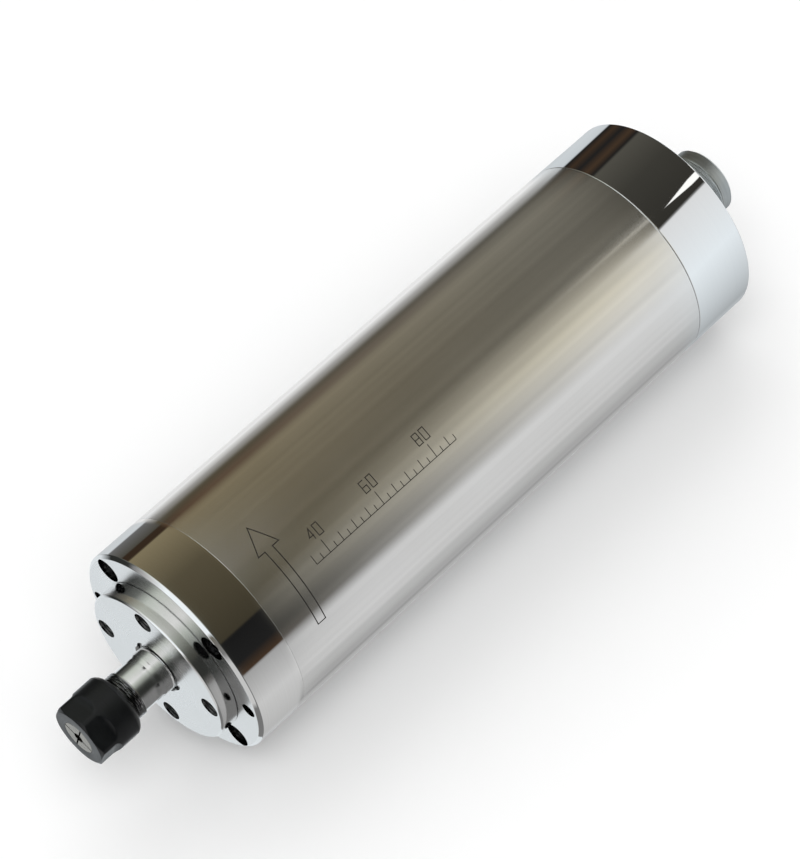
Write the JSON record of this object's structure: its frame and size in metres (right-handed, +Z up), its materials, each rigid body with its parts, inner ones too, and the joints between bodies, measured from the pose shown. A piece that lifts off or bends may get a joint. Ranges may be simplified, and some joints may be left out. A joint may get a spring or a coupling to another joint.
{
  "type": "motor spindle",
  "caption": "Water-cooled cylindrical motor spindle: ground steel barrel with bolted end caps, shaft in ball bearings, collet and black clamping nut on the nose, round connector at the tail.",
  "frame": {"origin": "where the spindle's axis meets the front face of the barrel's front end cap", "axes": "+X along the spindle's axis, from the collet nose to the connector at the tail; +Z up with the spindle lying level; the two tapped holes in the nose lie on Y"},
  "size_m": [0.2481, 0.065, 0.065],
  "materials": {
    "ground_stainless": "satin ground stainless steel",
    "polished_stainless": "finely turned and polished stainless steel",
    "mirror_chrome": "mirror chrome plate",
    "cast_aluminium": "machined aluminium",
    "seal_rubber": "soft black rubber",
    "screw_steel": "blackened screw steel",
    "bearing_steel": "lapped bearing steel",
    "lamination_steel": "stacked electrical steel",
    "copper_wire": "enamelled copper wire",
    "lead_insulation": "silicone lead insulation",
    "spring_steel": "tempered spring steel",
    "nickel_plate": "nickel-plated brass",
    "connector_metal": "dull nickel-plated metal",
    "insulator": "moulded insulator",
    "contact_plate": "gold-flashed contacts",
    "shaft_steel": "ground shaft steel",
    "cage_aluminium": "cast aluminium",
    "cage_resin": "cloth-filled resin",
    "collet_steel": "ground spring steel",
    "black_oxide": "black oxide, faint satin sheen"
  },
  "bodies": {
    "housing": {"outer_sleeve": "ground_stainless", "cooling_jacket": "cast_aluminium", "sleeve_orings": "seal_rubber", "front_end_cap": "polished_stainless", "front_cap_screws": "screw_steel", "front_bearing_cover": "polished_stainless", "front_cover_screws": "screw_steel", "front_bearing_outer_rings": "bearing_steel", "front_outer_spacer": "bearing_steel", "stator_core": "lamination_steel", "stator_windings": "copper_wire", "phase_leads": "lead_insulation", "rear_bearing_housing": "cast_aluminium", "rear_bearing_outer_ring": "bearing_steel", "preload_spring": "spring_steel", "rear_end_cap": "mirror_chrome", "rear_cap_screws": "screw_steel", "hose_nipples": "nickel_plate", "connector_shell": "connector_metal", "connector_locknut": "connector_metal", "connector_insert": "insulator", "connector_pins": "contact_plate"},
    "rotor": {"spindle_shaft": "shaft_steel", "labyrinth_nut": "shaft_steel", "front_bearing_inner_rings": "bearing_steel", "front_inner_spacer": "bearing_steel", "rotor_core": "lamination_steel", "rotor_cage": "cage_aluminium", "rear_bearing_inner_ring": "bearing_steel", "rear_locknut": "shaft_steel"},
    "front_rolling_set": {"front_bearing_balls": "bearing_steel", "front_bearing_cages": "cage_resin"},
    "rear_rolling_set": {"rear_bearing_balls": "bearing_steel", "rear_bearing_cage": "cage_resin"},
    "collet": {"collet": "collet_steel"},
    "nut": {"collet_nut": "black_oxide"}
  },
  "joints": [
    {"name": "shaft_spin", "type": "hinge", "parent": "housing", "child": "rotor", "pos_m": [0, 0, 0], "axis": [1, 0, 0], "continuous": true},
    {"name": "front_cage_orbit", "type": "hinge", "parent": "housing", "child": "front_rolling_set", "pos_m": [0.0145, 0, 0], "axis": [1, 0, 0], "continuous": true},
    {"name": "rear_cage_orbit", "type": "hinge", "parent": "housing", "child": "rear_rolling_set", "pos_m": [0.1561, 0, 0], "axis": [1, 0, 0], "continuous": true},
    {"name": "collet_slide", "type": "slide", "parent": "rotor", "child": "collet", "axis": [-1, 0, 0], "range_m": [0, 0.009]},
    {"name": "nut_turn", "type": "hinge", "parent": "collet", "child": "nut", "pos_m": [-0.0268, 0, 0], "axis": [-1, 0, 0], "range_deg": [0, 4320]}
  ],
  "couplings": [
    {"joint": "front_cage_orbit", "follows": "shaft_spin", "ratio": 0.39872},
    {"joint": "rear_cage_orbit", "follows": "shaft_spin", "ratio": 0.381},
    {"joint": "collet_slide", "follows": "nut_turn", "m_per_rad": 0.00011937}
  ]
}
